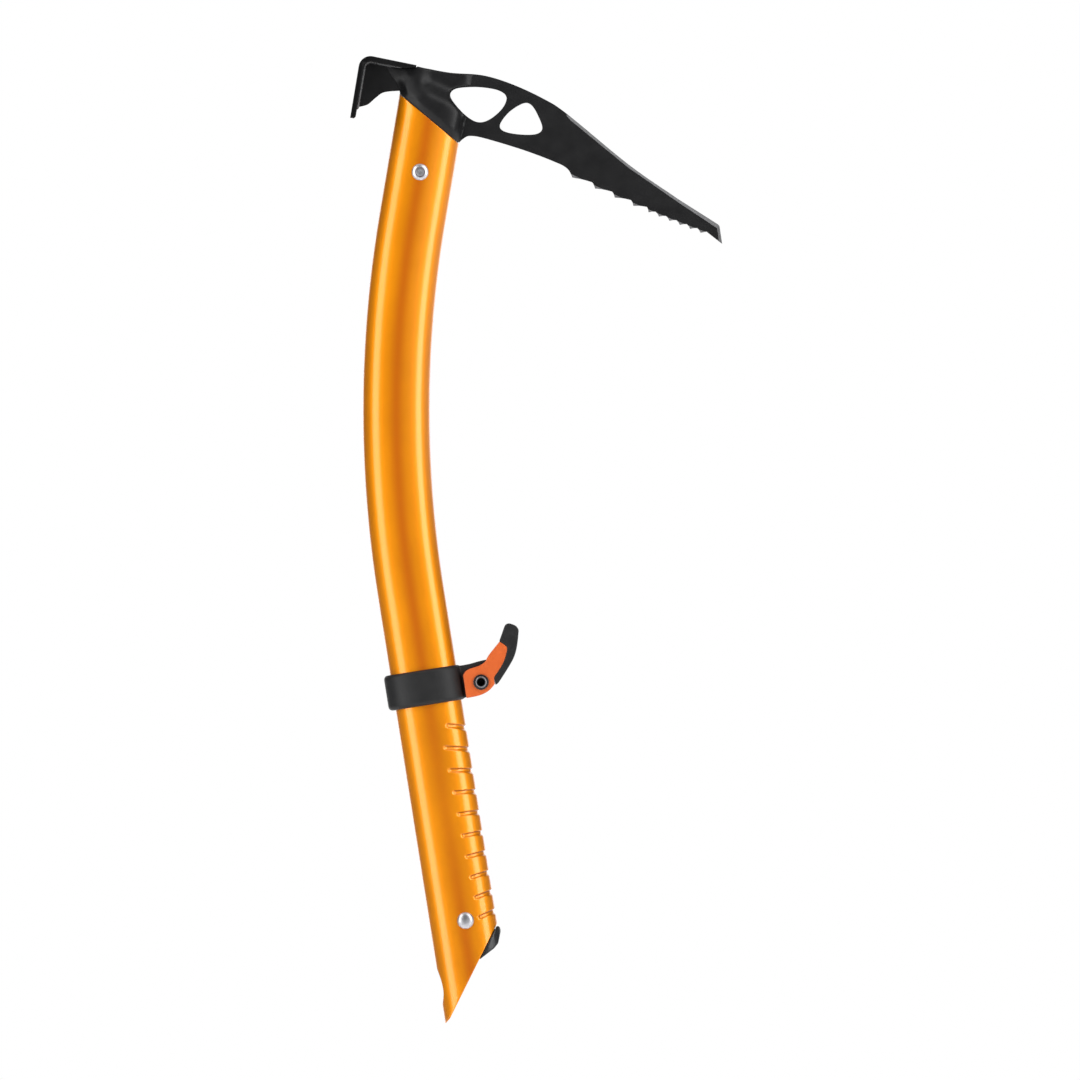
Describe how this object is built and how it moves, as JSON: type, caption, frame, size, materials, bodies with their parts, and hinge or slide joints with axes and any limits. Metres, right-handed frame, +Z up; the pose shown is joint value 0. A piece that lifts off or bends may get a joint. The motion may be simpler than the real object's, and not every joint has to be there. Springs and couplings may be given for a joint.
{
  "type": "ice axe",
  "caption": "Short ice axe with a bent tubular shaft, a toothed pick, a small adze, a slanted pointed tail and a sliding hand rest with a locking trigger.",
  "frame": {"origin": "middle of the grip, on the shaft's centre line", "axes": "+Z up the straight grip towards the head, +X towards the pick's point, +Y across the axe, away from its right side"},
  "size_m": [0.1871, 0.046, 0.4499],
  "materials": {
    "anodised_shaft": "satin orange anodising",
    "black_steel": "satin black coated steel, bare along the ground edges",
    "spacer_plastic": "moulded",
    "rivet_steel": "bright, lightly brushed",
    "plug_plastic": "moulded, satin",
    "band_rubber": "moulded elastomer, matt",
    "bush_bronze": "turned bronze",
    "washer_steel": "dark oxide",
    "trigger_plastic": "moulded, satin",
    "pad_rubber": "moulded elastomer, matt"
  },
  "bodies": {
    "axe": {"shaft": "anodised_shaft", "pick_blade": "black_steel", "head_cheek_right": "black_steel", "head_cheek_left": "black_steel", "adze_plate": "black_steel", "tang_spacer_right": "spacer_plastic", "tang_spacer_left": "spacer_plastic", "head_rivet_sleeve": "rivet_steel", "head_rivet_pin": "rivet_steel", "tail_plug": "plug_plastic", "tail_rivet": "rivet_steel"},
    "hand_rest": {"rest_band": "band_rubber", "lug_bush": "bush_bronze", "trigger_pin": "rivet_steel", "pin_washer_right": "washer_steel", "pin_washer_left": "washer_steel"},
    "trigger": {"trigger_lever": "trigger_plastic", "trigger_pad": "pad_rubber"}
  },
  "joints": [
    {"name": "rest_slide", "type": "slide", "parent": "axe", "child": "hand_rest", "axis": [0, 0, 1], "range_m": [-0.095, 0.04]},
    {"name": "trigger_pivot", "type": "hinge", "parent": "hand_rest", "child": "trigger", "pos_m": [0.0257, 0, 0.0602], "axis": [0, -1, 0], "range_deg": [-8, 28]}
  ]
}
